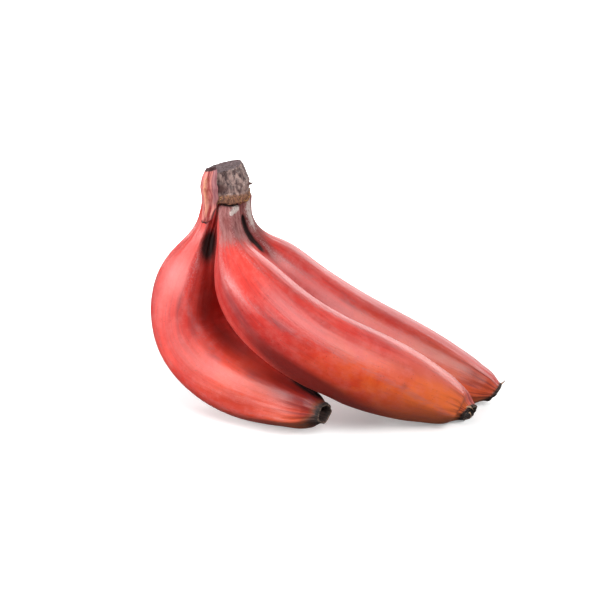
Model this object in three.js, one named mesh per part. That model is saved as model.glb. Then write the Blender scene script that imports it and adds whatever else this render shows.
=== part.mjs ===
// A hand of red bananas: three whole fruits that hang from one cut crown, lying on their bellies and tips.
// Millimetres, +Z up. The origin is the middle of the base, on the surface that the hand rests on.
import * as THREE from 'three';
import { LoftGeometry } from 'three/addons/geometries/LoftGeometry.js';

// ---- Driving dimensions -------------------------------------------------------------------------------

const fruitRadius = 21.2;        // mean radius at the thickest place
const neckRadius = 6;            // the stalk of one fruit, under the crown
const shoulderAt = 34;           // along the fruit, where neck turns into body
const shoulderSharpness = 4.2;
const blossomRadius = 7.2;       // the blunt blossom end
const taperSharpness = 2.4;
const crownBase = 116;           // height of the crown's underside
const crownHeight = 18;          // its middle, before the slanted cut
const bodyGap = 0.3;             // between the crown and each neck
const floor = 0;

const pointsAround = 28;
const rowsAlong = 36;

// The crown stands over this point of the base, so that the whole hand is centred on the origin.
const handOffset = new THREE.Vector3(-51, -16, 0);

// ---- Helpers ------------------------------------------------------------------------------------------

const smoothStep = THREE.MathUtils.smoothstep;
const radians = THREE.MathUtils.degToRad;

// A Bernstein curve: every control point pulls on the whole length, so it bends as evenly as a fruit does.
class BernsteinCurve extends THREE.Curve {
  constructor(controls) {
    super();
    this.controls = controls.map((c) => new THREE.Vector3(...c));
    this.arcLengthDivisions = 400;
  }

  getPoint(t, target = new THREE.Vector3()) {
    let row = this.controls.map((c) => c.clone());
    while (row.length > 1) {
      row = row.slice(1).map((next, i) => row[i].clone().lerp(next, t));
    }
    return target.copy(row[0]);
  }
}

// Radius at a distance s from the crown: neck, swelling shoulder, then a long taper to the blossom end.
function girth(s, length, radius, taper) {
  const swell = (s / shoulderAt) ** shoulderSharpness;
  const body = neckRadius + (radius - neckRadius) * swell / (1 + swell);
  const left = THREE.MathUtils.clamp((length - s) / taper, 0, 1);
  return blossomRadius + (body - blossomRadius) * (1 - (1 - left) ** taperSharpness);
}

// The peel's soft corners: a bump at each ridge angle, with the mean taken off so the girth stays true.
const ridgeWidth = radians(24);
const ridgeHeight = 0.07;

function cornerFactor(angle, ridges) {
  let sum = 0;
  for (const ridge of ridges) {
    const turn = Math.atan2(Math.sin(angle - ridge), Math.cos(angle - ridge));
    sum += Math.exp(-((turn / ridgeWidth) ** 2));
  }
  const mean = ridges.length * ridgeWidth * Math.sqrt(Math.PI) / (2 * Math.PI);
  return 1 + ridgeHeight * (sum - mean);
}

function namedMesh(name, geometry, color, roughness) {
  const material = new THREE.MeshStandardMaterial({ color, roughness, metalness: 0 });
  const mesh = new THREE.Mesh(geometry, material);
  mesh.name = name;
  return mesh;
}

// ---- One banana ---------------------------------------------------------------------------------------

const crownBlend = 14;           // the first ring lies level under the crown, then turns square
const tipBlend = 12;             // the same for the leaning face of the blossom end

// The blossom end: its rim rolls over, dips into a shallow scar and rises to the stub of the style.
// Each row is the distance past the end and the share of the end's radius.
const blossomScar = [[0.9, 0.93], [1.2, 0.78], [0.3, 0.6], [-1.4, 0.46], [-0.9, 0.16]];

// Rings of points around a curved axis. "out" is the fruit's outer, convex side; "across" is square to it.
function bananaGeometry({ axis, radius = fruitRadius, taper, ridges, lean = [0, 0, 0] }) {
  const curve = new BernsteinCurve(axis);
  const length = curve.getLength();
  const start = curve.getPointAt(0);
  const end = curve.getPointAt(1);
  const middle = curve.getPointAt(0.5);
  const bend = middle.clone().sub(start).cross(end.clone().sub(start)).normalize();
  const chordMiddle = start.clone().add(end).multiplyScalar(0.5);
  const outSign = middle.clone().sub(chordMiddle).dot(curve.getTangentAt(0.5).cross(bend)) < 0 ? -1 : 1;
  const ridgeAngles = ridges.map(radians);

  const startTangent = curve.getTangentAt(0);
  const levelShear = new THREE.Vector3(0, 0, -1 / startTangent.z);
  const leanShear = new THREE.Vector3(...lean);

  function ring(s, share) {
    const u = THREE.MathUtils.clamp(s / length, 0, 1);
    const along = curve.getTangentAt(u);
    const centre = curve.getPointAt(u).addScaledVector(along, s - u * length);
    const out = along.clone().cross(bend).normalize().multiplyScalar(outSign);
    const across = along.clone().cross(out);
    const shear = levelShear.clone().multiplyScalar(1 - smoothStep(s, 0, crownBlend));
    shear.addScaledVector(leanShear, smoothStep(s, length - tipBlend, length));
    const mean = girth(u * length, length, radius, taper) * share;
    const points = [];
    for (let i = 0; i < pointsAround; i++) {
      const angle = 2 * Math.PI * i / pointsAround;
      const reach = mean * cornerFactor(angle, ridgeAngles);
      const offset = out.clone().multiplyScalar(reach * Math.cos(angle));
      offset.addScaledVector(across, reach * Math.sin(angle));
      const point = centre.clone().add(offset).addScaledVector(along, offset.dot(shear));
      point.z = Math.max(point.z, floor);
      points.push(point);
    }
    return points;
  }

  const sections = [];
  for (let row = 0; row <= rowsAlong; row++) {
    sections.push(ring(length * row / rowsAlong, 1));
  }
  for (const [past, share] of blossomScar) {
    sections.push(ring(length + past, share));
  }
  return new LoftGeometry(sections, { capStart: true, capEnd: true });
}

// Axis points run from the neck under the crown to the blossom end. Ridge angles are counted from the
// outer side. A lean tips the blossom face: the side that it points to stands further out.
const neckStart = crownBase - bodyGap;

const bananas = {
  banana_left: {
    axis: [
      [-7, 31, neckStart], [-12, 36, 74], [-46, 47, 42], [-25, 39, 14],
      [12, 12, 14], [37, -12, 15], [49, -19, 14],
    ],
    radius: 21.4,
    taper: 100,
    ridges: [240, 180, 110, 35, 310],
    lean: [0, 0.25, 0],
  },
  banana_front: {
    axis: [
      [0, 20, neckStart], [0, 5, 87], [9, -7, 70], [30, -14, 52],
      [62, -13, 35], [97, -3, 26], [127, 2, 6],
    ],
    taper: 77,
    ridges: [298, 241, 168, 93, 22],
    lean: [0, 0.5, 0],
  },
  banana_back: {
    axis: [
      [6, 34, neckStart], [4, 34, 92], [18, 39, 73], [35, 44, 58],
      [55, 44, 41], [88, 38, 24], [143, 26, 8],
    ],
    taper: 71,
    ridges: [260, 194, 122, 50, 335],
  },
};

// ---- The crown ----------------------------------------------------------------------------------------

// Outline of the crown in plan: a superellipse, so it is fuller at the corners than an ellipse.
const crownCentre = [-0.5, 27];
const crownSquareness = 2.8;
const crownCut = new THREE.Vector2(0.26, 0.05);   // slope of the cut top, rising to the right and back

// Height above the base, half width, half depth, shift in x. The lowest rows are the bulging lip.
const crownRows = [
  [0, 10.6, 12.6, 0],
  [1, 11.8, 13.6, 0],
  [4, 11.6, 13.4, 0],
  [6, 11.2, 12.6, 0.2],
  [9, 11.4, 12, 0.2],
  [13, 10.6, 11, -0.6],
  [16.6, 9.6, 10, -1.4],
  [crownHeight, 8.8, 9.2, -1.6],
];

function crownOutline(angle, halfWidth, halfDepth, shift) {
  const power = 2 / crownSquareness;
  const c = Math.cos(angle);
  const s = Math.sin(angle);
  const x = crownCentre[0] + shift + halfWidth * Math.sign(c) * Math.abs(c) ** power;
  const y = crownCentre[1] + halfDepth * Math.sign(s) * Math.abs(s) ** power;
  return new THREE.Vector2(x, y);
}

function crownGeometry() {
  const sections = crownRows.map(([height, halfWidth, halfDepth, shift]) => {
    const points = [];
    for (let i = 0; i < pointsAround; i++) {
      const plan = crownOutline(2 * Math.PI * i / pointsAround, halfWidth, halfDepth, shift);
      const fromCentre = plan.clone().sub(new THREE.Vector2(...crownCentre));
      const slant = fromCentre.dot(crownCut) * (height / crownHeight) ** 2;
      points.push(new THREE.Vector3(plan.x, plan.y, crownBase + height + slant));
    }
    return points;
  });
  return new LoftGeometry(sections, { capStart: true, capEnd: true });
}

// ---- The torn strip -----------------------------------------------------------------------------------

// Where a fourth fruit was pulled off, a strip of its stalk's skin still hugs the crown's left front
// corner and hangs below it. Height, first and last angle round the crown, thickness at the middle.
const stripRows = [
  [107, 221, 229, 0.8],
  [109, 212, 236, 1.8],
  [113, 207, 246, 2.4],
  [118, 203, 249, 2.6],
  [124, 198, 250, 2.8],
  [129, 199, 250, 2.6],
  [133, 203, 249, 2],
  [134.5, 206, 247, 1.2],
];
const stripPoints = 9;           // across the strip, on each of its two faces
const stripEdge = 0.5;           // thickness left at its edges
const stripGap = 0.4;            // to the crown
const stripHalfWidth = 11.9;     // it follows the crown's lip
const stripHalfDepth = 13.7;

function stripGeometry() {
  const sections = stripRows.map(([height, from, to, thickness]) => {
    const outer = [];
    const inner = [];
    for (let i = 0; i < stripPoints; i++) {
      const share = i / (stripPoints - 1);
      const angle = radians(THREE.MathUtils.lerp(from, to, share));
      const crest = 1 - (2 * share - 1) ** 2;
      const reach = stripGap + stripEdge + (thickness - stripEdge) * crest;
      const skin = crownOutline(angle, stripHalfWidth + stripGap, stripHalfDepth + stripGap, 0);
      const face = crownOutline(angle, stripHalfWidth + reach, stripHalfDepth + reach, 0);
      inner.unshift(new THREE.Vector3(skin.x, skin.y, height));
      outer.push(new THREE.Vector3(face.x, face.y, height));
    }
    return [...outer, ...inner];
  });
  return new LoftGeometry(sections, { capStart: true, capEnd: true });
}

// ---- The hand -----------------------------------------------------------------------------------------

const hand = new THREE.Group();
hand.position.copy(handOffset);

hand.add(namedMesh('crown', crownGeometry(), 0x5e4b48, 0.9));
hand.add(namedMesh('torn_stem_strip', stripGeometry(), 0xb0555a, 0.75));
for (const [name, shape] of Object.entries(bananas)) {
  hand.add(namedMesh(name, bananaGeometry(shape), 0xc9423a, 0.45));
}

const group = new THREE.Group();
group.add(hand);

export default group;
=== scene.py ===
# %% [markdown]
# # A hand of red bananas
# Three whole red bananas hang from one cut crown and lie on a table. The imported CAD model gives the
# size and the place of every piece. This script gives each piece the surface of the real fruit.
# The CAD model is loaded first, and each finished piece's box is compared with its node's box as it is made.

# %% Load the frame
import itertools
import math

import bpy
import numpy as np
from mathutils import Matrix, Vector


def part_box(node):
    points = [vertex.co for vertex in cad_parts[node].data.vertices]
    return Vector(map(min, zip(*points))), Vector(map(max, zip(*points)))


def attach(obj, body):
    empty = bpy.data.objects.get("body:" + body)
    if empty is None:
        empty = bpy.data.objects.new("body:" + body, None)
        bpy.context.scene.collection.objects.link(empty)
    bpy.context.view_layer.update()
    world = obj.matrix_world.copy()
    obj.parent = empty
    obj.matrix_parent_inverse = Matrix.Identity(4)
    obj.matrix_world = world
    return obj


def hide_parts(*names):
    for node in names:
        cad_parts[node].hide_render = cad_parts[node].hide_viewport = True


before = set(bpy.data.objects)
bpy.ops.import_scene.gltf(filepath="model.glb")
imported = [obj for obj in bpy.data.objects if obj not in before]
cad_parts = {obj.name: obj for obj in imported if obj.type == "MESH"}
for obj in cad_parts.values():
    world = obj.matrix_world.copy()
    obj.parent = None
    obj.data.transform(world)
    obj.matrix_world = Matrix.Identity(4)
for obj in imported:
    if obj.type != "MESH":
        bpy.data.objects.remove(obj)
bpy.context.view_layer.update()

MM = 0.001
print("CAD nodes:", sorted(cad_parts))

# %% [markdown]
# ## Node helpers
# Every material here is a small tree of shader nodes. It could be wired by hand in the editor. A few
# short methods make, feed and link the nodes instead, so that each finish reads as a list of coats.

# %% Colours and node trees
def rgb(red, green, blue):
    """A colour given as it looks on a screen, 0 to 255, as the linear numbers that shaders use."""
    screen = np.array([red, green, blue]) / 255
    linear = np.where(screen <= 0.04045, screen / 12.92, ((screen + 0.055) / 1.055) ** 2.4)
    return (*linear.tolist(), 1.0)


class Tree:
    """Adds nodes to a node tree and wires them. A value is a number, a colour or another node's socket."""

    def __init__(self, tree):
        self.tree = tree

    def feed(self, socket, value):
        if isinstance(value, bpy.types.NodeSocket):
            self.tree.links.new(value, socket)
        else:
            socket.default_value = value

    def give(self, node, values):
        for key, value in values.items():
            self.feed(node.inputs[key], value)

    def node(self, kind, values=None, **settings):
        made = self.tree.nodes.new(kind)
        for key, value in settings.items():
            setattr(made, key, value)
        self.give(made, values or {})
        return made

    def group(self, group, *values):
        """The outputs of a node group whose inputs are fed with the values in their order."""
        return self.node("ShaderNodeGroup", dict(enumerate(values)), node_tree=group).outputs

    def object_place(self):
        return self.node("ShaderNodeTexCoord").outputs["Object"]

    def mark(self, name, output="Fac"):
        return self.node("ShaderNodeAttribute", attribute_name=name).outputs[output]

    def noise(self, vector, scale, detail, roughness=0.5, distortion=0.0):
        values = {"Vector": vector, "Scale": scale, "Detail": detail, "Roughness": roughness}
        return self.node("ShaderNodeTexNoise", values | {"Distortion": distortion}).outputs["Fac"]

    def stretch(self, vector, scale):
        return self.node("ShaderNodeMapping", {"Vector": vector, "Scale": scale}).outputs["Vector"]

    def step(self, value, low, high, to_low=0.0, to_high=1.0):
        values = {"Value": value, "From Min": low, "From Max": high, "To Min": to_low, "To Max": to_high}
        return self.node("ShaderNodeMapRange", values, interpolation_type="SMOOTHSTEP").outputs["Result"]

    def math(self, operation, first, second, clamp=False):
        made = self.node("ShaderNodeMath", {0: first, 1: second}, operation=operation, use_clamp=clamp)
        return made.outputs[0]

    def times(self, first, second, clamp=False):
        return self.math("MULTIPLY", first, second, clamp)

    def plus(self, first, second, clamp=False):
        return self.math("ADD", first, second, clamp)

    def frayed(self, name, noise, amount):
        """A mark whose edge is broken up by noise: the mark plus amount times the noise."""
        return self.plus(self.mark(name), self.times(noise, amount))

    def mix(self, share, first, second):
        return self.node("ShaderNodeMix", {0: share, 6: first, 7: second}, data_type="RGBA").outputs[2]

    def over(self, colour, share, strength, *paint):
        """The colour with paint of this red, green and blue over it, as thick as share times strength."""
        return self.mix(self.times(share, strength), colour, rgb(*paint))

    def bump(self, height, strength, depth):
        values = {"Height": height, "Strength": strength, "Distance": depth}
        return self.node("ShaderNodeBump", values).outputs["Normal"]


def new_group(name, inputs, outputs):
    """An empty node group with these sockets; returns the group, its tree helper, inputs and outputs."""
    group = bpy.data.node_groups.new(name, "ShaderNodeTree")
    for direction, sockets in (("INPUT", inputs), ("OUTPUT", outputs)):
        for socket_name, kind in sockets:
            group.interface.new_socket(name=socket_name, in_out=direction, socket_type=kind)
    tree = Tree(group)
    print("group", name)
    return group, tree, tree.node("NodeGroupInput").outputs, tree.node("NodeGroupOutput").inputs


def new_finish(name):
    """A material with nothing but its shader; returns the material, its tree helper and the shader."""
    material = bpy.data.materials.new(name)
    material.use_nodes = True
    return material, Tree(material.node_tree), material.node_tree.nodes["Principled BSDF"]


def dress(piece, finish):
    piece.data.materials.append(finish)
    print(piece.name, "wears", finish.name)


# %% [markdown]
# ## Camera, table and light
# The fruit lies on a white sweep among large soft boxes, and a long lens keeps it in proportion. The
# key box stands high on the front right, where the strips of peel that face up mirror it as a broad
# satin shine, and where the front fruit keeps it off the inside of the left one. A box on the left
# lights the outer side of the left fruit. A low wide strip behind the fruit skims the upper edges and
# draws their pale rim, and a faint hazy sun softens the shadow under the fruit.

# %% Camera
def new_object(name, data):
    made = bpy.data.objects.new(name, data)
    bpy.context.scene.collection.objects.link(made)
    return made


VIEW_HEIGHT = math.radians(18)
VIEW_DISTANCE = 0.8
LOOK_AT = Vector((-0.0132, -0.006, 0.066))
LENS, SENSOR = 91.4, 36.0  # mm

camera_data = bpy.data.cameras.new("camera")
camera_data.sensor_width = SENSOR
camera_data.lens = LENS
camera = new_object("camera", camera_data)
toward_viewer = Vector((0, -math.cos(VIEW_HEIGHT), math.sin(VIEW_HEIGHT)))
camera.location = LOOK_AT + VIEW_DISTANCE * toward_viewer
camera.rotation_euler = (math.pi / 2 - VIEW_HEIGHT, 0, 0)
bpy.context.scene.camera = camera
print("camera at", tuple(round(x, 3) for x in camera.location))

# %% Table
# A sweep this bright looks plain white, yet it throws little light up at the fruit. Light Path tells
# the two apart: the eye meets a white table that glows more the farther it is from the fruit, and the
# bounced light meets a dark grey one.
TABLE_REACH = 6.0
BOUNCED_GREY, SEEN_GREY = 0.12, 0.86
GLOW_FROM, GLOW_TO = 0.045, 0.36  # metres from the middle of the fruit
WEAKEST_GLOW, FULL_GLOW = 0.25, 0.85

floor_mesh = bpy.data.meshes.new("table")
corners = [(x * TABLE_REACH, y * TABLE_REACH, 0) for x, y in ((-1, -1), (1, -1), (1, 1), (-1, 1))]
floor_mesh.from_pydata(corners, [], [(0, 1, 2, 3)])
floor = new_object("table", floor_mesh)


def grey(level):
    return (level, level, level, 1)


floor_finish, tree, shader = new_finish("table_white")
seen = tree.node("ShaderNodeLightPath").outputs["Is Camera Ray"]
distance = tree.node("ShaderNodeVectorMath", {0: tree.object_place()}, operation="LENGTH").outputs["Value"]
glow = tree.step(distance, GLOW_FROM, GLOW_TO, WEAKEST_GLOW, FULL_GLOW)
tree.give(shader, {
    "Base Color": tree.mix(seen, grey(BOUNCED_GREY), grey(SEEN_GREY)),
    "Emission Color": tree.mix(seen, grey(0), glow),
    "Emission Strength": 1.0,
    "Roughness": 0.8,
    "Specular IOR Level": 0.1,
})
dress(floor, floor_finish)
print("table reaches", TABLE_REACH, "m each way")


# %% Lights
LIT_POINT = Vector((0, 0, 0.05))
HAZE_ANGLE = math.radians(60)
WORLD_LIGHT = 0.16


def aimed_light(name, kind, place, power):
    """A light at place, in metres, turned to shine on the fruit. Power is in watts, a sun's in W/m2."""
    data = bpy.data.lights.new(name, kind)
    data.energy = power
    lamp = new_object(name, data)
    lamp.location = place
    lamp.rotation_euler = (LIT_POINT - Vector(place)).to_track_quat("-Z", "Y").to_euler()
    lamp.visible_camera = False
    return data


def soft_box(name, place, width, height, power):
    box = aimed_light(name, "AREA", place, power)
    box.shape = "RECTANGLE"
    box.size = width
    box.size_y = height


soft_box("key_box", (0.52, -0.72, 0.8), 0.75, 0.6, 13.0)
soft_box("left_box", (-0.92, -0.36, 0.36), 0.8, 0.5, 13.5)
soft_box("rim_strip", (0.1, 0.8, 0.27), 1.8, 0.44, 7.8)
aimed_light("top_haze", "SUN", (-0.35, 0.1, 1.0), 0.3).angle = HAZE_ANGLE

world = bpy.data.worlds.new("studio")
world.use_nodes = True
background = world.node_tree.nodes["Background"]
Tree(world.node_tree).give(background, {"Color": grey(1), "Strength": WORLD_LIGHT})
bpy.context.scene.world = world
bpy.context.scene.view_settings.view_transform = "Standard"

# %% [markdown]
# ## Shared geometry
# A banana could be sculpted, or cut from a tube with a bend modifier. Here it is a surface of two
# parameters instead: the distance along a curved axis and the angle around it. Every fold, corner and
# dent is then a term in one radius formula, and the piece keeps to the CAD axis.

# %% Curves and smooth steps
def ease(low, high, x):
    """0 below low, 1 above high, and the cubic 3t^2 - 2t^3 between them."""
    t = np.clip((x - low) / (high - low), 0, 1)
    return t * t * (3 - 2 * t)


def bell(x, middle, width):
    """The bell curve exp(-((x - middle) / width)^2)."""
    return np.exp(-(((x - middle) / width) ** 2))


def bernstein_curve(controls, t):
    """Sum of the controls, each weighted by C(n, k) t^k (1 - t)^(n - k)."""
    n = len(controls) - 1
    weights = [math.comb(n, k) * t**k * (1 - t) ** (n - k) for k in range(n + 1)]
    return np.stack(weights, 1) @ np.asarray(controls, float)


def walk(controls, distances):
    """Point and unit direction at each distance along the curve; past an end it runs on straight."""
    t = np.linspace(0, 1, 1601)
    points = bernstein_curve(controls, t)
    steps = np.linalg.norm(np.diff(points, axis=0), axis=1)
    travelled = np.r_[0, np.cumsum(steps)]
    length = travelled[-1]
    directions = np.gradient(points, travelled, axis=0)
    inside = np.clip(distances, 0, length)
    place = np.stack([np.interp(inside, travelled, points[:, k]) for k in range(3)], 1)
    along = np.stack([np.interp(inside, travelled, directions[:, k]) for k in range(3)], 1)
    along /= np.linalg.norm(along, axis=1, keepdims=True)
    return place + along * (distances - inside)[:, None], along, length


def lattice_noise(place, seed):
    """Smooth random numbers from -1 to 1: the hashed corners of a unit lattice, blended smoothly."""
    cell = np.floor(place).astype(np.int64)
    blend = ease(0, 1, place - cell)
    total = np.zeros(place.shape[:-1])
    for corner in itertools.product((0, 1), repeat=3):
        key = (cell + np.array(corner)) * np.array([73856093, 19349663, 83492791])
        mixed = key[..., 0] ^ key[..., 1] ^ key[..., 2] ^ (seed * 2654435761)
        mixed = (mixed ^ (mixed >> 13)) * 1274126177
        value = ((mixed ^ (mixed >> 16)) & 0xFFFF) / 32767.5 - 1
        weight = np.prod(np.where(corner, blend, 1 - blend), axis=-1)
        total += weight * value
    return total


def layered_noise(place, seed, layers=3):
    """Lattice noise plus half as much at twice the pitch, and so on."""
    return sum(lattice_noise(place * 2**k, seed + k) / 2**k for k in range(layers))


def stacked(*columns):
    """The columns, spread to one shape, as the last axis of one array."""
    return np.stack(np.broadcast_arrays(*columns), -1)


def resampled(rows, count):
    """A table's columns read at count stations, evenly spread along its rows, after the stations."""
    station = np.linspace(0, len(rows) - 1, count)
    return station, *(np.interp(station, np.arange(len(rows)), column) for column in rows.T)


# %% Rings to mesh
def closed_skin(name, rings, marks=None):
    """Joins closed rings of points (row, column, xyz, in mm) with quads, and closes each end with a fan.

    A fourth axis in front holds many small skins, which become one mesh. marks holds a number or a
    vector for each point of a single skin, kept on the mesh for the materials to read.
    """
    skins = rings if rings.ndim == 4 else rings[None]
    count, rows, columns, _ = skins.shape
    ends = [skins[:, :1].mean(2), skins[:, -1:].mean(2)]
    points = np.concatenate([skins.reshape(count, rows * columns, 3), *ends], axis=1) * MM
    first_pole, last_pole = rows * columns, rows * columns + 1
    here = np.arange(rows * columns).reshape(rows, columns)
    beside = np.roll(here, -1, axis=1)
    quads = np.stack([here[:-1], beside[:-1], beside[1:], here[1:]], -1).reshape(-1, 4)
    first_fan = np.stack([beside[0], here[0], np.full(columns, first_pole)], -1)
    last_fan = np.stack([here[-1], beside[-1], np.full(columns, last_pole)], -1)
    fans = np.concatenate([first_fan, last_fan])

    apex = points[0][quads[:, 0]]
    swept = np.cross(points[0][quads[:, 1]] - apex, points[0][quads[:, 3]] - apex)
    if np.einsum("ij,ij->", swept, apex - points[0].mean(0)) < 0:
        quads = quads[:, ::-1]
        fans = fans[:, ::-1]
    next_skin = (np.arange(count) * (rows * columns + 2))[:, None, None]
    quads = (quads + next_skin).reshape(-1, 4)
    fans = (fans + next_skin).reshape(-1, 3)
    points = points.reshape(-1, 3)

    mesh = bpy.data.meshes.new(name)
    mesh.vertices.add(len(points))
    mesh.vertices.foreach_set("co", points.astype(np.float32).ravel())
    corners = np.concatenate([quads.ravel(), fans.ravel()])
    starts = np.r_[np.arange(len(quads)) * 4, len(quads) * 4 + np.arange(len(fans)) * 3]
    mesh.loops.add(len(corners))
    mesh.loops.foreach_set("vertex_index", corners.astype(np.int32))
    mesh.polygons.add(len(starts))
    mesh.polygons.foreach_set("loop_start", starts.astype(np.int32))
    mesh.update(calc_edges=True)
    mesh.validate()
    mesh.shade_smooth()
    for mark, values in (marks or {}).items():
        values = np.broadcast_to(values, rings.shape[:2] + np.shape(values)[2:])
        poles = [values[:1].mean(1), values[-1:].mean(1)]
        flat = np.concatenate([values.reshape((rows * columns,) + values.shape[2:]), *poles])
        kind, field = ("FLOAT_VECTOR", "vector") if flat.ndim == 2 else ("FLOAT", "value")
        attribute = mesh.attributes.new(mark, kind, "POINT")
        attribute.data.foreach_set(field, flat.astype(np.float32).ravel())
    box = np.array([points.min(0), points.max(0)]) / MM
    print(f"{name}: {len(starts)} faces, box", *box.round(1))
    return new_object(name, mesh)


def compare(piece, node):
    """Prints the largest difference between the piece's box and its CAD node's box."""
    low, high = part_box(node)
    points = np.array([v.co for v in piece.data.vertices])
    gap = max(np.abs(points.min(0) - low).max(), np.abs(points.max(0) - high).max())
    print("  box differs from the CAD node by", round(gap / MM, 2), "mm")


# %% [markdown]
# ## The fruits
# A red banana grows a short stalk, swells over a shoulder into a body of even girth, and tapers to a
# blunt blossom end. In section it is a soft pentagon, because the peel has five strips that meet in
# ridges. The same few numbers shape the CAD solids, and the fine folds are added here.

# %% Measures shared by the three fruits
NECK_RADIUS = 6.0
SHOULDER_AT = 34.0
SHOULDER_SHARPNESS = 4.2
BLOSSOM_RADIUS = 7.2
TAPER_SHARPNESS = 2.4
NECK_START = 115.7
CROWN_BASE = 116.0
CROWN_CENTRE = np.array([-0.5, 27.0])  # in the hand's own plan, with the front neck near x = 0

crown_low, crown_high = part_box("crown")
crown_middle = (np.array(crown_low) + np.array(crown_high))[:2] / 2 / MM
HAND_PLACE = np.array([*(crown_middle - CROWN_CENTRE), 0.0])
print("the hand's plan starts at", HAND_PLACE.round(2), "mm")

# %% [markdown]
# ### What sets the fruits apart
# A place on a fruit is a distance from the crown in mm and an angle in degrees around the axis, counted
# from the outside of the bend. A spot is a place, a half length, a half width and, for shades and
# swells, a strength. Twists are in degrees, and ridges holds the angle of each corner of the peel.
# Shades stand for the light that the neighbours take away, creases for hollows that are also painted
# near black as shade, and wax for the sap that dried white.

# %% Table of the fruits
FRUITS = {
    "banana_left": dict(
        axis=[(-7, 31, NECK_START), (-12, 36, 74), (-46, 47, 42), (-25, 39, 14),
              (12, 12, 14), (37, -12, 15), (49, -19, 14)],
        radius=21.4, taper=100, lean=(0, 0.25, 0), seed=11,
        ridges=(240, 180, 110, 35, 310), corners=0.5, body_twist=-19,
        stalk_grey=0.3, stalk_side=200, dark_tip=14, ripe=0.25, ripe_side=250,
        swells=[(98, 150, 30, 9, 3.0)], creases=[(24, 214, 10, 6)],
        shades=[(50, 203, 24, 7, 0.55), (104, 190, 30, 7, 0.6), (162, 212, 30, 11, 0.75),
                (166, 176, 16, 12, 0.6)],
        bruises=[(137, 221, 9, 3), (107, 226, 8, 2), (78, 226, 10, 1.6), (59, 246, 9, 1.4)],
    ),
    "banana_front": dict(
        axis=[(0, 20, NECK_START), (0, 5, 87), (9, -7, 70), (30, -14, 52),
              (62, -13, 35), (97, -3, 26), (127, 2, 6)],
        radius=21.2, taper=77, lean=(0, 0.85, 0), seed=23,
        ridges=(298, 241, 168, 93, 22), corners=0.26, neck_twist=34, tip_twist=22,
        painted_top_highlight=1, stalk_grey=0.85, stalk_side=262, dark_tip=4, ripe=1, ripe_side=345,
        wax=((1.2, 232, 2.6, 3.2), (3, 256, 2.4, 2.4), (5, 274, 2, 1.3)),
        creases=[(-0.5, 258, 1.3, 9)],
        shades=[(10, 294, 5, 3.5, 0.5), (20, 290, 8, 3, 0.3), (112, 8, 36, 9, 0.9),
                (80, 352, 20, 7, 0.7), (102, 348, 16, 4, 0.35)],
        bruises=[(67, 306, 10, 1.8), (11, 300, 5, 3), (20, 262, 7, 1.6), (50, 338, 9, 2),
                 (60, 345, 10, 2.5), (138, 296, 1.6, 1.4)],
    ),
    "banana_back": dict(
        axis=[(6, 34, NECK_START), (4, 34, 92), (18, 39, 73), (35, 44, 58),
              (55, 44, 41), (88, 38, 24), (143, 26, 8)],
        radius=21.2, taper=71, lean=(0, 0, 0.4), seed=37,
        ridges=(260, 194, 122, 50, 335), corners=0.2, neck_twist=14,
        painted_top_highlight=0.1, stalk_grey=1, stalk_side=200, dark_tip=7, ripe=0.6, ripe_side=262,
        wax=((4, 200, 5, 3.5), (13, 192, 8, 3)),
        creases=[(11, 238, 3, 1.3), (16, 236, 4, 1.7), (22, 229, 4, 1.7), (28, 221, 4, 1.3)],
        shades=[(26, 205, 9, 5, 0.7), (34, 214, 9, 3, 0.5), (100, 186, 34, 6, 0.3),
                (152, 202, 26, 8, 0.45), (178, 214, 12, 8, 0.4)],
        bruises=[(118, 222, 10, 1.5), (92, 200, 9, 1.2)],
    ),
}
print("fruits:", *FRUITS)


# %% The radius formula
def girth(s, length, radius, taper):
    """Neck radius plus a swell x / (1 + x) with x a power of s, then a power-law fall to the blossom end."""
    swell = np.clip(s / SHOULDER_AT, 0, None) ** SHOULDER_SHARPNESS
    body = NECK_RADIUS + (radius - NECK_RADIUS) * swell / (1 + swell)
    left = np.clip((length - s) / taper, 0, 1)
    return BLOSSOM_RADIUS + (body - BLOSSOM_RADIUS) * (1 - (1 - left) ** TAPER_SHARPNESS)


def turn_from(side, angle):
    """Signed turn, between minus pi and pi, from a side given in degrees to an angle in radians."""
    turn = angle - math.radians(side)
    return np.arctan2(np.sin(turn), np.cos(turn))


def ridge_bumps(angle, ridges, width):
    """Sum of bell curves of the turn from each ridge."""
    return sum(bell(turn_from(ridge, angle), 0, width) for ridge in ridges)


def flat_strips(angle, ridges, crispness):
    """A polygon with its corners at the ridges, softened, and divided by its mean around the ring.

    Each flat strip of peel lies at depth cos(half its width) along its own normal, and a strip wider
    than a fifth of the way round bulges. The reach is the sum of (cos(angle - normal) / depth) ^
    crispness over the strips, to the power -1 / crispness.
    """
    corners = np.radians(np.sort(ridges))
    half = (np.roll(corners, -1) - corners) % (2 * np.pi) / 2
    depths = np.cos(np.minimum(half, np.pi / 5))
    total = sum(
        (np.maximum(np.cos(angle - normal), 0) / depth) ** crispness
        for normal, depth in zip(corners + half, depths)
    )
    reach = total ** (-1 / crispness)
    return reach / reach.mean(axis=1, keepdims=True)


# %% [markdown]
# ### The blossom end
# Where the flower fell off, the peel ends in a dark rim around a small hollow with the dry stub of the
# style in its middle. A lathe could turn it, but the real rim is torn and uneven, so it is the last
# rows of the same skin: the rows run on past the end, roll over the rim, sink and rise to the stub.

# %% Rows of the blossom end
SCAR_ROWS = np.array([
    # mm past the end of the axis, share of the end's radius
    (0.0, 1.00), (0.8, 0.98), (1.5, 0.93), (1.9, 0.87), (1.8, 0.8), (1.2, 0.73), (0.0, 0.67),
    (-1.8, 0.61), (-3.6, 0.52), (-4.2, 0.36), (-3.8, 0.22), (-2.4, 0.16), (-1.6, 0.1), (-1.4, 0.02),
])
RIM_SHARE, HOLLOW_SHARE = 0.84, 0.9  # the torn rim's middle; every row inside the hollow is below
print("rows past the end:", len(SCAR_ROWS))

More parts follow.
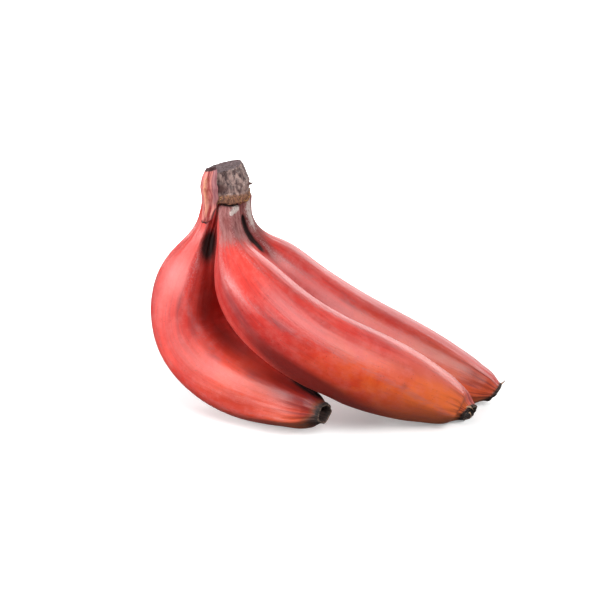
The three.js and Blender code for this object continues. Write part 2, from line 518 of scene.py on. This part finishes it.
# %% One fruit as a surface
AROUND = 216
BODY_ROWS = 352
END_ROWS = 54
STRAIGHT_RADIUS = 20  # of the straightened fruit in which noise is read
IN_CROWN = 5.0  # the neck runs on into the crown, so that the two look grown together
CROWN_BLEND = 14.0
TIP_BLEND = 12.0
CREASE_DEPTH = 2.0
TOUCHING, CLEAR = 0.3, 5  # mm to a neighbour, where the peel is pressed flat and where it isn't
TABLE_SOFTNESS = 0.15  # mm over which a skin that would sink into the table is laid on it


def straightened(s, angle):
    """Where each point would be on a straight tube."""
    return stacked(np.cos(angle) * STRAIGHT_RADIUS, np.sin(angle) * STRAIGHT_RADIUS, s)


def peel_folds(s, angle, length, seed):
    """Small rises and hollows of the peel in mm, as a sum of soft noise in the straightened fruit."""
    flat = straightened(s, angle)
    waves = 0.38 * layered_noise(flat / (26, 26, 44), seed, 2)
    cords = 0.16 * layered_noise(flat / (4.5, 4.5, 60), seed + 5, 2)
    near_neck = 1 - ease(14, 46, s)
    near_tip = ease(length - 24, length - 1, s)
    furrows = lattice_noise(flat / (3.2, 3.2, 26), seed + 9)
    furrows = furrows - 0.4 * np.abs(lattice_noise(flat / (2, 2, 15), seed + 3))
    return waves * (1 - 0.8 * near_neck) + cords + furrows * (0.42 * near_neck + 0.3 * near_tip)


def ball_gap(points, balls):
    """Way from each point to the nearest of the balls strung along the other fruits, in mm."""
    flat = points.reshape(-1, 3)
    nearest = np.full(len(flat), 99.0)
    for centres, radii in balls:
        apart = (flat**2).sum(1)[:, None] + (centres**2).sum(1) - 2 * flat @ centres.T
        nearest = np.minimum(nearest, (np.sqrt(np.maximum(apart, 0)) - radii).min(1))
    return nearest.reshape(points.shape[:-1])


def banana_rings(balls, axis, radius, taper, lean, seed, ridges, corners, stalk_grey, stalk_side, dark_tip,
                 ripe, ripe_side, creases, shades, bruises, neck_twist=0, body_twist=0, tip_twist=0, painted_top_highlight=0,
                 wax=(), swells=()):
    """Rings around the axis: centre + reach (cos a out + sin a across), and the marks on them.

    The reach is the girth times 1 plus the corners of the five strips, less the creases, plus the
    swells and the folds. The corners fade where a neighbour presses. Each ring is sheared level at
    the crown and by lean at the tip, and no point stays below the table.
    """
    _, first_way, length = walk(axis, np.zeros(1))
    _, past, share = resampled(SCAR_ROWS, END_ROWS)
    s = np.r_[np.linspace(-IN_CROWN, length, BODY_ROWS), length + past[1:]]
    share = np.r_[np.ones(BODY_ROWS), share[1:]]
    centre, along, _ = walk(axis, s)
    start, middle, end = walk(axis, np.array([0, length / 2, length]))[0]
    out = np.cross(along, np.cross(middle - start, end - start))
    out /= np.linalg.norm(out, axis=1, keepdims=True)
    out *= 1 if (middle - (start + end) / 2) @ out[BODY_ROWS // 2] > 0 else -1
    across = np.cross(along, out)

    angle = np.linspace(0, 2 * np.pi, AROUND, endpoint=False)[None, :]
    s, share = s[:, None], share[:, None]

    def near_end(far, near):
        """0 up to far mm before the blossom end, and 1 from near mm before it."""
        return ease(length - far, length - near, s)

    def facing(side):
        """Cosine of the way around from a side given in degrees."""
        return np.cos(turn_from(side, angle))

    twist = neck_twist * (1 - ease(18, 95, s)) + body_twist * ease(48, 75, s)
    twist = twist + tip_twist * near_end(50, 12)
    wander = -np.radians(twist) + 0.05 * np.sin(s / 23 + seed) + 0.03 * np.sin(s / 9 + 2 * seed)
    at_ends = np.clip(1 - ease(8, 44, s) + near_end(50, 8), 0, 1)
    strips = flat_strips(angle + wander, ridges, 9 + 7 * at_ends)
    mean = girth(np.clip(s, 0, length), length, radius, taper) * (1 - 0.35 * ease(0, IN_CROWN, -s))
    mean = mean * (1 + 0.05 * bell(length - s, 13, 8) - 0.2 * near_end(7, 0))
    way_out = np.cos(angle)[..., None] * out[:, None] + np.sin(angle)[..., None] * across[:, None]
    gap = ball_gap(centre[:, None] + mean[..., None] * way_out, balls)
    pressed = 1 - ease(TOUCHING, CLEAR, gap)

    def spot(at, side, half_length, half_width):
        """A soft patch exp(-(along / half_length)^2 - (across / half_width)^2) on the peel."""
        sideways = turn_from(side, angle) * mean
        return np.exp(-(((s - at) / half_length) ** 2) - (sideways / half_width) ** 2)

    def spots(places):
        """The sum of the spots, each times its strength if it has a fifth number, kept from 0 to 1."""
        return np.clip(sum(math.prod(place[4:]) * spot(*place[:4]) for place in places), 0, 1)

    shaded_crease = spots(creases)
    cornered = corners * (1 + at_ends) - 0.9 * corners * near_end(12, 0)
    reach = mean * share * (1 + cornered * (1 - pressed) * (strips - 1)) - CREASE_DEPTH * shaded_crease
    reach = reach + sum(rise * spot(*place) for *place, rise in swells)
    reach = reach + peel_folds(s, angle, length, seed) * share**2

    in_scar = np.where(share < HOLLOW_SHARE, 1.0, np.clip((s - length) / 0.5, 0, 1) * (share < 0.999))
    torn = lattice_noise(stacked(np.cos(angle) * 2.4, np.sin(angle) * 2.4, share * 5), seed + 7)
    reach = reach + 0.35 * torn * in_scar * share

    offset = reach[..., None] * way_out
    level = np.array([0, 0, -1]) / first_way[0, 2]
    shear = (1 - ease(0, CROWN_BLEND, s))[..., None] * level + near_end(TIP_BLEND, 0)[..., None] * lean
    shift = (offset * shear).sum(-1) + 0.45 * torn * in_scar
    rings = centre[:, None] + offset + shift[..., None] * along[:, None] + HAND_PLACE
    height = rings[..., 2]
    rings[..., 2] = (height + np.sqrt(height**2 + TABLE_SOFTNESS**2)) / 2

    underside = ease(-0.2, 0.9, -way_out[..., 2])
    topside = ease(0.3, 0.9, way_out[..., 2])
    ripening = ease(-0.1, 0.75, facing(ripe_side)) * ease(70, 125, s)
    grey_side = ease(-0.1, 0.6, facing(stalk_side))
    frosted = np.clip(ridge_bumps(angle + wander, ridges, math.radians(9)), 0, 1)
    return rings, {
        "straight_place": (straightened(s, angle) + (100 * seed, 0, 0)) * MM,
        "ridge": np.clip(ridge_bumps(angle + wander, ridges, math.radians(6)), 0, 1),
        "stalk": stalk_grey * (1 - ease(8, 40, s)) * (0.3 + 0.7 * grey_side),
        "shade": spots(shades),
        # painted highlight: a paler pink on the upper side towards the tip
        "painted_top_highlight": painted_top_highlight * topside * near_end(75, 30),
        "frost": frosted * (1 - ease(22, 75, s)),
        "tip": near_end(dark_tip * (0.4 + underside), -1),
        "olive": underside * near_end(30, 6),
        "groove": (1 - underside) * near_end(28, 3),
        "near_tip": near_end(75, 20),
        "rim": bell(share, RIM_SHARE, 0.05),
        "blossom_scar": in_scar,
        "ripe": ripe * np.clip(ripening + 0.8 * (1 - topside) * near_end(60, 10), 0, 1),
        "wax": spots(wax),
        "bruise": spots(bruises),
        # painted shade: near black in the creases and wherever a neighbour presses close
        "shaded_crease": np.clip(shaded_crease + 0.9 * pressed, 0, 1),
    }


BALLS_A_FRUIT = 120
strung = {}
for fruit, shape in FRUITS.items():
    stations = np.linspace(0, walk(shape["axis"], np.zeros(1))[2], BALLS_A_FRUIT)
    thickness = girth(stations, stations[-1], shape["radius"], shape["taper"])
    strung[fruit] = (walk(shape["axis"], stations)[0], thickness)

fruit_pieces, fruit_rings = {}, {}
for fruit, shape in FRUITS.items():
    neighbours = [balls for other, balls in strung.items() if other != fruit]
    rings, marks = banana_rings(neighbours, **shape)
    fruit_rings[fruit] = rings
    fruit_pieces[fruit] = closed_skin(fruit + "_fruit", rings, marks)
    compare(fruit_pieces[fruit], fruit)

# %% [markdown]
# ## The crown
# The crown is the hard pad where the knife took the hand off the stalk. Its sides dry to a grey-brown
# bark, its top is the knife's cut with the ends of the fibres showing, and its lower lip bulges over
# the necks and tears into orange fibres. It could be carved from a block with a rough brush. It is one
# skin again, because rows that climb from the middle of the underside over the lip and the sides to the
# middle of the cut let each part have its own roughness.

# %% The crown's skin
CROWN_HEIGHT = 18.0
CROWN_CUT = np.array([0.26, 0.05])
CROWN_SQUARENESS = 2.8
CROWN_ROWS = np.array([
    # height, half width, half depth, shift in x
    (1.6, 1.0, 1.0, 0), (1.2, 5.5, 7.0, 0), (0.7, 9.6, 11.6, 0), (0.8, 11.2, 13.3, 0), (1.7, 12.1, 14.0, 0),
    (3.6, 12.2, 13.9, 0), (5.2, 11.6, 13.3, 0), (6.2, 11.0, 12.5, 0.1), (7.2, 11.2, 12.3, 0.2),
    (9.5, 11.5, 12.0, 0.3), (13.0, 10.6, 11.0, -0.6), (16.4, 9.8, 10.1, -1.4), (17.4, 9.5, 9.8, -1.55),
    (18.0, 9.2, 9.5, -1.6), (18.1, 8.8, 9.1, -1.6), (17.7, 8.2, 8.5, -1.6), (17.2, 4.2, 4.6, -1.6),
    (17.1, 0.6, 0.6, -1.6),
])
# Where each part of the skin fades in or out, counted along CROWN_ROWS.
SHADED_UNDERSIDE_ENDS = (0.9, 1.8)
LIP_STARTS, LIP_ENDS = (1.0, 2.0), (5.5, 7.1)
SIDE_STARTS, CUT_STARTS = (7.0, 8.0), (12.6, 13.4)


def crown_outline(angle, half_width, half_depth, shift):
    """Superellipse in plan: each of cos and sin keeps its sign and is raised to 2 / squareness."""
    power = 2 / CROWN_SQUARENESS
    x = CROWN_CENTRE[0] + shift + half_width * np.sign(np.cos(angle)) * np.abs(np.cos(angle)) ** power
    y = CROWN_CENTRE[1] + half_depth * np.sign(np.sin(angle)) * np.abs(np.sin(angle)) ** power
    return x, y


def cut_slant(x, y, height):
    """Rise of the knife's slanting cut, which fades to nothing at the foot as the height squared."""
    tilt = (x - CROWN_CENTRE[0]) * CROWN_CUT[0] + (y - CROWN_CENTRE[1]) * CROWN_CUT[1]
    return tilt * (height / CROWN_HEIGHT) ** 2


def crown_rings(around=220, count=210):
    """Rows of outlines, pushed in and out by bark noise, with the top slanted like the knife's cut."""
    angle = np.linspace(0, 2 * np.pi, around, endpoint=False)[None, :]
    row, height, half_width, half_depth, shift = (column[:, None] for column in resampled(CROWN_ROWS, count))
    x, y = crown_outline(angle, half_width, half_depth, shift)
    bark = stacked(x, y, height)
    on_lip = ease(*LIP_STARTS, row) * (1 - ease(*LIP_ENDS, row))
    on_top = ease(*CUT_STARTS, row)
    on_side = ease(*SIDE_STARTS, row) * (1 - on_top)
    rough = 0.4 * layered_noise(bark / (3.5, 3.5, 6), 51, 3)
    rough = rough + 0.3 * layered_noise(bark / (1.3, 1.3, 4), 52, 2)
    rags = 0.35 * layered_noise(bark / (1.0, 1.0, 2.2), 53, 3) * on_lip
    push = (rough * on_side + rags) / np.maximum(half_width, 3)
    x = x + (x - CROWN_CENTRE[0] - shift) * push
    y = y + (y - CROWN_CENTRE[1]) * push
    fibres = 0.3 * layered_noise(bark / (1.1, 1.1, 50), 54, 2) * on_top
    ragged_edge = 0.4 * layered_noise(bark / (1.4, 1.4, 50), 55, 2) * (1 - ease(0.5, 3.5, height))
    rings = stacked(x, y, CROWN_BASE + height + cut_slant(x, y, height) + fibres + ragged_edge) + HAND_PLACE
    toward_pale = bell(turn_from(318, angle), 0, 0.55)
    return rings, {
        "lip": on_lip,
        "cut_face": on_top,
        # painted shade: the underside below the lip is painted near black
        "shaded_underside": 1 - ease(*SHADED_UNDERSIDE_ENDS, row),
        "pale_side": toward_pale * ease(6, 10, height),
        "stained": np.exp(-(((np.degrees(angle) - 258) / 17) ** 2) - ((height - 9) / 3.4) ** 2),
    }


crown = closed_skin("crown_bark", *crown_rings())
compare(crown, "crown")

# %% [markdown]
# ## The torn strip
# A fourth fruit was pulled off the left front corner. What stays is a strip of its stalk: a red skin
# with a pale fibrous middle, edges that dried dark, and a torn point that curls away below the crown.
# A cloth could be draped over the crown, but the strip is stiff, so it is a lens section carried down
# the crown's outline, thick in the middle and thin at its edges.

# %% The strip's skin
STRIP_ROWS = np.array([
    # height, first angle, last angle, thickness, curl away from the crown
    (106.8, 211, 233, 0.7, 2.0), (108.5, 208, 241, 1.5, 1.1), (111.5, 205, 249, 2.2, 0.4),
    (115.5, 203, 255, 2.5, -0.2), (120, 199, 258, 2.8, 0.1), (125.5, 197, 259, 3.1, 0.6),
    (130, 202, 258, 2.6, 0.2), (133, 211, 256, 1.7, -0.3), (134.6, 220, 253, 0.9, -0.5),
])
STRIP_HALF_WIDTH = 11.9
STRIP_HALF_DEPTH = 13.7
STRIP_EDGE = 0.5
STRIP_SPREAD = 14  # mm across the strip when it is laid flat
STRIP_CUT = 0.22  # rise of the cut top, in mm for each mm to the right


def strip_rings(around=160, count=190):
    """A lens around the crown's outline: share runs across and back, and sin w swings it out and in."""
    w = np.linspace(0, 2 * np.pi, around, endpoint=False)[None, :]
    share = (1 - np.cos(w)) / 2
    _, height, first, last, thickness, curl = (column[:, None] for column in resampled(STRIP_ROWS, count))
    last = last + 1.2 * np.sin(height / 2.1) + 0.8 * np.sin(height / 0.9)
    angle = np.radians(first + (last - first) * share)
    crest = 1 - (2 * share - 1) ** 2
    half = (STRIP_EDGE + (thickness - STRIP_EDGE) * crest) / 2
    outer = ease(-0.2, 0.6, np.sin(w))
    place = stacked(share * STRIP_SPREAD, np.sin(w), height)
    keel = 0.8 * bell(share, 0.62, 0.08) - 0.9 * bell(share, 0.79, 0.07)
    fibres = 0.3 * layered_noise(place / (0.9, 3, 14), 61, 3)
    reach = 0.4 + half + half * np.sin(w) + (keel + fibres) * outer * ease(0, 0.35, crest) + curl
    x, y = crown_outline(angle, STRIP_HALF_WIDTH + reach, STRIP_HALF_DEPTH + reach, 0)
    ragged = 0.6 * layered_noise(place / (1.1, 50, 50), 62, 2) * ((height < 109) + 0.5 * (height > 133))
    cut = STRIP_CUT * (x - x.min()) * ease(126, 134, height)
    low_edge = bell(share, 1, 0.1) * (1 - ease(113, 118, height))
    dry_ends = 1 - ease(107, 108.6, height) + ease(132.4, 133.8, height)
    fleshy = ease(109, 114, height) * (1 - ease(129, 132, height))
    return stacked(x, y, height + ragged + cut) + HAND_PLACE, {
        "straight_place": place * MM,
        "dry_edge": np.clip(low_edge + dry_ends, 0, 1),
        "pith": bell(share, 0.62, 0.07) * outer * fleshy,
        "mauve": ease(0.76, 0.86, share) * ease(114, 120, height),
    }


strip = closed_skin("torn_strip_skin", *strip_rings())
compare(strip, "torn_stem_strip")

# %% [markdown]
# ## Loose fibres and flakes
# Cut and torn stalk frays. Short fibres stand out of the crown's lip, a splinter sticks out where the
# knife left the bark, and bits of the dry flower stay on two blossom ends: a hook on the back one and
# two flakes on the front one. A hair system could grow the fibres, but real little spindles export as
# they are. Each is an oval section carried along a bent path, all worked out in one go.

# %% Spindles along bent paths
def spindle_rings(start, middle, end, width, thickness, side, rows, around):
    """Oval rings along (1-t)^2 start + 2t(1-t) middle + t^2 end, as wide as a sine arch that thins out."""
    t = np.linspace(0, 1, rows)[:, None, None]
    start, middle, end, side = (np.asarray(v, float)[..., None, None, :] for v in (start, middle, end, side))
    centre = (1 - t) ** 2 * start + 2 * t * (1 - t) * middle + t**2 * end
    along = 2 * (1 - t) * (middle - start) + 2 * t * (end - middle)
    face = np.cross(along, side)
    face /= np.linalg.norm(face, axis=-1, keepdims=True)
    flat_way = np.cross(face, along)
    flat_way /= np.linalg.norm(flat_way, axis=-1, keepdims=True)
    turn = np.linspace(0, 2 * np.pi, around, endpoint=False)[None, :, None]
    swell = (1 - t) ** 0.6 * (0.35 + 0.65 * np.sin(np.pi * np.minimum(t + 0.15, 1))) + 0.04
    return centre + swell * (width * np.cos(turn) * flat_way + thickness * np.sin(turn) * face)


def lip_fibres(count=190, seed=71):
    """Fibres rooted around the lip at random angles and heights, leaning out and mostly down."""
    draw = np.random.default_rng(seed)
    angle = np.radians(draw.uniform(0, 360, count))
    height = draw.uniform(1.6, 6.0, count)
    x, y = crown_outline(angle, 11.7, 13.4, 0)
    root = stacked(x, y, CROWN_BASE + height + cut_slant(x, y, height)) + HAND_PLACE
    outward = stacked(np.cos(angle), np.sin(angle), 0)
    sideways = stacked(-np.sin(angle), np.cos(angle), 0)
    long_way = draw.uniform(0.9, 2.2, (count, 1))
    droop = np.array([0.0, 0.0, 1.0]) * draw.uniform(-1.0, 0.35, (count, 1))
    drift = sideways * draw.normal(0, 0.45, (count, 1))
    middle = root + outward * 0.55 + long_way * 0.45 * (droop + drift)
    end = root + outward * draw.uniform(0.5, 1.1, (count, 1)) + long_way * (droop + drift)
    return spindle_rings(root, middle, end, 0.17, 0.1, outward, rows=6, around=6)


def loose_bit(root, path, width, thickness, side, around):
    """One spindle along a path of three points, each given from the root."""
    return spindle_rings(*(root + point for point in np.array(path)), width, thickness, side, 14, around)


def end_top(fruit):
    """The highest point of the ring where the blossom scar starts."""
    ring = fruit_rings[fruit][BODY_ROWS + 4]
    return ring[ring[:, 2].argmax()]


crown_edge = np.array([10.6, 24.0, CROWN_BASE + 9.6]) + HAND_PLACE
hook_root, flake_root = end_top("banana_back"), end_top("banana_front")
splinter_path = [(0, 0, 0), (1.5, -0.6, -0.5), (3.4, -1.0, 0.9)]
hook_path = [(-1.0, 0, -0.6), (1.4, -0.2, 0.2), (2.4, -0.4, 2.8)]
flake_path = [(-3.4, -1.0, 0.4), (0.2, -0.8, 0.9), (1.6, -0.6, -2.2)]
curl_path = [(-1.4, -3.0, -2.4), (0.6, -2.8, -2.2), (-0.4, -3.6, -6.0)]

fibres = closed_skin("lip_fibres", lip_fibres())
splinter = closed_skin("crown_splinter", loose_bit(crown_edge, splinter_path, 0.9, 0.3, (0, 0.4, 1), 14))
flower_bits = closed_skin("dry_flower_bits", np.stack([
    loose_bit(hook_root, hook_path, 0.9, 0.4, (0, 1, 0.2), 12),
    loose_bit(flake_root, flake_path, 1.1, 0.3, (0, 1, 0.5), 12),
    loose_bit(flake_root, curl_path, 0.5, 0.25, (0, 1, 0.5), 12),
]))

# %% [markdown]
# ## Finishes
# Peel could be painted by hand on an unwrapped skin. It is grown from noise instead, read in the
# place that each point would have if the fruit were straightened, so that streaks run lengthwise and
# draw together at both ends. Groups hold what several finishes share, and the marks left on the meshes
# say where each coat goes.

# %% Groups that the finishes share
FLOAT, VECTOR = "NodeSocketFloat", "NodeSocketVector"
PLACE_AND_PITCH = [("Place", VECTOR), ("Pitch", FLOAT)]
CHOOSING_PITCH = 260.0  # of the noise that leaves out some of the specks

streak_group, tree, given, result = new_group(
    "lengthwise_streaks", [*PLACE_AND_PITCH, ("Length", FLOAT)], [("Streaks", FLOAT), ("Fine", FLOAT)]
)
squeeze = tree.node("ShaderNodeCombineXYZ", {"X": 1, "Y": 1, "Z": given["Length"]}).outputs[0]
drawn = tree.node("ShaderNodeVectorMath", {0: given["Place"], 1: squeeze}, operation="MULTIPLY").outputs[0]
tree.feed(result["Streaks"], tree.noise(drawn, given["Pitch"], 4, 0.6, 0.3))
tree.feed(result["Fine"], tree.noise(drawn, tree.times(given["Pitch"], 4), 3, 0.6))

speck_group, tree, given, result = new_group(
    "fine_specks", [*PLACE_AND_PITCH, ("Size", FLOAT)], [("Specks", FLOAT)]
)
cells = tree.node("ShaderNodeTexVoronoi", {"Vector": given["Place"], "Scale": given["Pitch"]})
near = tree.math("LESS_THAN", cells.outputs["Distance"], given["Size"])
chosen = tree.math("GREATER_THAN", tree.noise(given["Place"], CHOOSING_PITCH, 2), 0.5)
tree.feed(result["Specks"], tree.times(near, chosen))

patch_group, tree, given, result = new_group(
    "dry_patches", [*PLACE_AND_PITCH, ("Cover", FLOAT), ("Soft", FLOAT)], [("Patches", FLOAT)]
)
cloud = tree.noise(given["Place"], given["Pitch"], 5, 0.65, 0.4)
low = tree.math("SUBTRACT", 1, given["Cover"])
tree.feed(result["Patches"], tree.step(cloud, low, tree.plus(low, given["Soft"])))

# %% [markdown]
# ### Peel
# The ripe peel is a deep, very pure red under a thin film of wax. The wax gives the broad satin shine,
# so the red itself is kept darker than it looks. Towards the tip and on the underside it ripens to
# orange and olive. The ridges rub first and go mauve, the stalk dries to grey-brown in blotches, and
# the blossom end goes brown and black. A paler pink on the upper side towards the tip is a painted
# highlight, and the near black in the creases and where the fruits touch is painted shade.

# %% Peel finish
def peel_finish():
    material, tree, shader = new_finish("red_peel")
    place = tree.mark("straight_place", "Vector")
    streaks, fine = tree.group(streak_group, place, 420, 0.06)
    broad = tree.noise(tree.stretch(place, (1, 1, 0.4)), 48, 3, 0.55)

    colour = tree.mix(tree.step(broad, 0.3, 0.7), rgb(184, 36, 30), rgb(224, 62, 50))
    colour = tree.mix(tree.step(streaks, 0.42, 0.66, 0, 0.4), colour, rgb(160, 24, 26))
    ripe = tree.times(tree.mark("ripe"), tree.step(broad, 0.2, 0.6, 0.6, 1), clamp=True)
    ripe_clouds = tree.step(tree.noise(place, 90, 4, 0.6), 0.35, 0.65)
    ripe_colour = tree.mix(ripe_clouds, rgb(208, 56, 18), rgb(226, 88, 32))
    ripe_colour = tree.over(ripe_colour, tree.mark("near_tip"), 0.7, 238, 122, 56)
    colour = tree.mix(ripe, colour, ripe_colour)
    # painted highlight: a paler pink on the upper side towards the tip
    colour = tree.over(colour, tree.mark("painted_top_highlight"), 0.4, 228, 140, 124)
    clouds = tree.noise(place, 150, 6, 0.75)
    colour = tree.mix(tree.step(clouds, 0.42, 0.68, 0, 0.28), colour, rgb(218, 112, 106))

    rub_noise = tree.noise(tree.stretch(place, (1, 1, 0.25)), 300, 5, 0.75, 0.5)
    rubbed = tree.times(tree.step(rub_noise, 0.42, 0.6), tree.step(tree.mark("ridge"), 0.1, 0.9), clamp=True)
    colour = tree.over(colour, rubbed, 0.35, 168, 104, 106)
    bruise = tree.times(tree.mark("bruise"), tree.step(rub_noise, 0.3, 0.55, 0.35, 1), clamp=True)
    colour = tree.over(colour, bruise, 0.5, 112, 50, 56)
    colour = tree.over(colour, tree.step(fine, 0.56, 0.7), 0.2, 150, 66, 72)

    blotch = tree.noise(tree.stretch(place, (1, 1, 0.7)), 190, 8, 0.8, 0.3)
    stalk = tree.step(tree.frayed("stalk", blotch, 1.1), 0.75, 1.25)
    stalk_colour = tree.mix(tree.step(blotch, 0.36, 0.62), rgb(84, 44, 45), rgb(152, 108, 105))
    colour = tree.mix(tree.times(stalk, 0.88), colour, stalk_colour)
    shade = tree.step(tree.frayed("shade", broad, 0.15), 0.1, 1, 0, 0.9)
    colour = tree.mix(shade, colour, rgb(116, 17, 12))
    frost = tree.times(tree.step(tree.noise(place, 900, 4, 0.8), 0.5, 0.6), tree.mark("frost"))
    colour = tree.over(colour, frost, 0.28, 206, 176, 178)
    flaking = tree.noise(place, 700, 6, 0.75)
    wax = tree.step(tree.frayed("wax", flaking, 3), 2, 2.55, 0, 0.85)
    wax = tree.times(wax, tree.step(tree.mark("wax"), 0.05, 0.35))
    colour = tree.mix(wax, colour, rgb(206, 194, 188))
    # painted shade: near black in the creases and wherever a neighbour presses close
    shaded_crease = tree.step(tree.frayed("shaded_crease", blotch, 0.3), 0.4, 0.95, 0, 0.97)
    colour = tree.mix(shaded_crease, colour, rgb(20, 6, 5))

    tip_noise = tree.noise(tree.stretch(place, (1, 1, 0.5)), 320, 5, 0.7)
    tip_reach = tree.frayed("tip", tip_noise, 0.6)
    colour = tree.over(colour, tree.mark("olive"), 0.6, 190, 106, 42)
    grooves = tree.times(tree.step(streaks, 0.46, 0.6), tree.mark("groove"), clamp=True)
    colour = tree.over(colour, grooves, 0.65, 112, 34, 42)
    colour = tree.mix(tree.step(tip_reach, 0.55, 1, 0, 0.6), colour, rgb(112, 62, 38))
    dark_tip = tree.step(tip_reach, 0.95, 1.3)
    colour = tree.mix(dark_tip, colour, rgb(62, 40, 34))
    hollow_colour = tree.mix(tree.step(tip_noise, 0.35, 0.65), rgb(18, 11, 10), rgb(66, 46, 40))
    colour = tree.mix(tree.mark("blossom_scar"), colour, hollow_colour)
    torn_rim = tree.times(tree.mark("rim"), tree.step(tree.noise(place, 800, 4, 0.7), 0.4, 0.62))
    colour = tree.over(colour, torn_rim, 0.9, 170, 142, 122)
    specks = tree.group(speck_group, place, 520, 0.13)[0]
    colour = tree.over(colour, specks, 0.45, 96, 36, 30)

    dry = tree.plus(stalk, dark_tip, clamp=True)
    dull = tree.plus(dry, shaded_crease)
    height = tree.plus(tree.times(fine, 0.6), tree.times(tree.noise(place, 1500, 3, 0.6), 0.5))
    height = tree.plus(height, tree.times(tree.times(tip_noise, dry), 3))
    tree.give(shader, {
        "Base Color": colour,
        "Roughness": tree.plus(tree.step(clouds, 0.3, 0.7, 0.36, 0.48), tree.times(dull, 0.35)),
        "Normal": tree.bump(height, 0.35, 0.0004),
        "Specular IOR Level": 0.5,
        "Coat Weight": tree.step(dull, 0, 0.6, 0.12, 0),
        "Coat Roughness": 0.35,
        "Sheen Weight": 0.02,
        "Sheen Roughness": 0.35,
        "Sheen Tint": rgb(255, 226, 218),
    })
    return material


red_peel = peel_finish()
for piece in fruit_pieces.values():
    dress(piece, red_peel)


# %% [markdown]
# ### Crown bark
# Dry banana stalk is grey-brown with mauve shadows and pale lichen-like patches. The lip's torn
# fibres are orange with yellow ends, and the cut face is darker, with the dots of the sap vessels.
# The underside below the lip is painted near black as shade.

# %% Crown finish
def crown_finish():
    material, tree, shader = new_finish("crown_bark")
    place = tree.object_place()
    upright = tree.stretch(place, (1, 1, 0.35))
    grain = tree.noise(upright, 420, 5, 0.7, 0.4)
    colour = tree.mix(tree.step(grain, 0.38, 0.64), rgb(68, 49, 50), rgb(172, 143, 135))
    pale = tree.group(patch_group, place, 380, 0.5, 0.16)[0]
    pale_share = tree.times(pale, tree.step(tree.mark("pale_side"), 0, 0.7, 0.15, 0.8))
    colour = tree.mix(pale_share, colour, rgb(186, 168, 160))
    dark = tree.group(patch_group, upright, 190, 0.42, 0.1)[0]
    colour = tree.over(colour, dark, 0.65, 58, 34, 37)
    stain = tree.step(tree.frayed("stained", grain, 0.5), 0.55, 1.1, 0, 0.8)
    colour = tree.mix(stain, colour, rgb(70, 32, 32))
    fibre = tree.noise(upright, 1100, 4, 0.7)
    lip_colour = tree.mix(tree.step(fibre, 0.4, 0.6), rgb(88, 54, 40), rgb(152, 102, 74))
    flecks = tree.group(speck_group, place, 900, 0.24)[0]
    lip_colour = tree.over(lip_colour, flecks, 0.85, 232, 178, 84)
    colour = tree.mix(tree.times(tree.mark("lip"), 0.9), colour, lip_colour)
    pores = tree.noise(place, 700, 4, 0.6)
    cut_colour = tree.mix(tree.step(pores, 0.4, 0.6), rgb(70, 54, 58), rgb(112, 94, 96))
    vessels = tree.group(speck_group, place, 420, 0.22)[0]
    cut_colour = tree.mix(vessels, cut_colour, rgb(26, 16, 16))
    colour = tree.mix(tree.times(tree.mark("cut_face"), 0.85), colour, cut_colour)
    # painted shade: the underside below the lip is painted near black
    colour = tree.mix(tree.mark("shaded_underside"), colour, rgb(22, 14, 13))
    tree.give(shader, {
        "Base Color": colour,
        "Roughness": tree.step(grain, 0.3, 0.7, 0.75, 0.95),
        "Normal": tree.bump(tree.plus(grain, tree.times(fibre, 0.5)), 0.8, 0.0008),
    })
    return material


dress(crown, crown_finish())


# %% Torn strip finish
def strip_finish():
    material, tree, shader = new_finish("torn_stalk_skin")
    place = tree.mark("straight_place", "Vector")
    streaks, fine = tree.group(streak_group, place, 900, 0.12)
    colour = tree.mix(tree.step(streaks, 0.38, 0.62), rgb(162, 54, 56), rgb(226, 142, 132))
    grey = tree.group(patch_group, place, 330, 0.42, 0.15)[0]
    colour = tree.over(colour, grey, 0.4, 150, 104, 108)
    colour = tree.over(colour, tree.mark("mauve"), 0.7, 150, 104, 112)
    pith = tree.times(tree.mark("pith"), tree.step(fine, 0.3, 0.6, 0.3, 1))
    colour = tree.over(colour, pith, 0.85, 236, 168, 130)
    edge = tree.step(tree.frayed("dry_edge", streaks, 0.4), 0.7, 1.1)
    colour = tree.mix(edge, colour, rgb(74, 46, 48))
    tree.give(shader, {
        "Base Color": colour,
        "Roughness": tree.step(edge, 0, 1, 0.55, 0.85),
        "Normal": tree.bump(fine, 0.6, 0.0005),
    })
    return material


dress(strip, strip_finish())

# %% Dry fibre finish
def dry_fibre_finish(name, dark, light):
    """Dead plant fibre: two browns mixed by lengthwise grain, dull and a little rough."""
    material, tree, shader = new_finish(name)
    grain = tree.noise(tree.object_place(), 700, 4, 0.7)
    tree.give(shader, {
        "Base Color": tree.mix(tree.step(grain, 0.35, 0.65), dark, light),
        "Roughness": tree.step(grain, 0.3, 0.7, 0.6, 0.9),
        "Normal": tree.bump(grain, 0.5, 0.0002),
    })
    return material


dress(fibres, dry_fibre_finish("straw_fibre", rgb(150, 96, 52), rgb(236, 186, 104)))
dress(splinter, dry_fibre_finish("bark_splinter", rgb(84, 58, 54), rgb(150, 120, 112)))
dress(flower_bits, dry_fibre_finish("dry_flower", rgb(120, 84, 66), rgb(196, 160, 130)))

# %% [markdown]
# ## Join the pieces to the frame
# Each finished skin rides on the one body, and the CAD node that it replaces is hidden. The loose
# bits ride along and replace no node.

# %% Ride and replace
for fruit, piece in fruit_pieces.items():
    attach(piece, "root")
    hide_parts(fruit)
for piece, node, finish in ((crown, "crown", "crown_bark"), (strip, "torn_stem_strip", "torn_stalk_skin")):
    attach(piece, "root")
    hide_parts(node)
for piece in (fibres, splinter, flower_bits):
    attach(piece, "root")
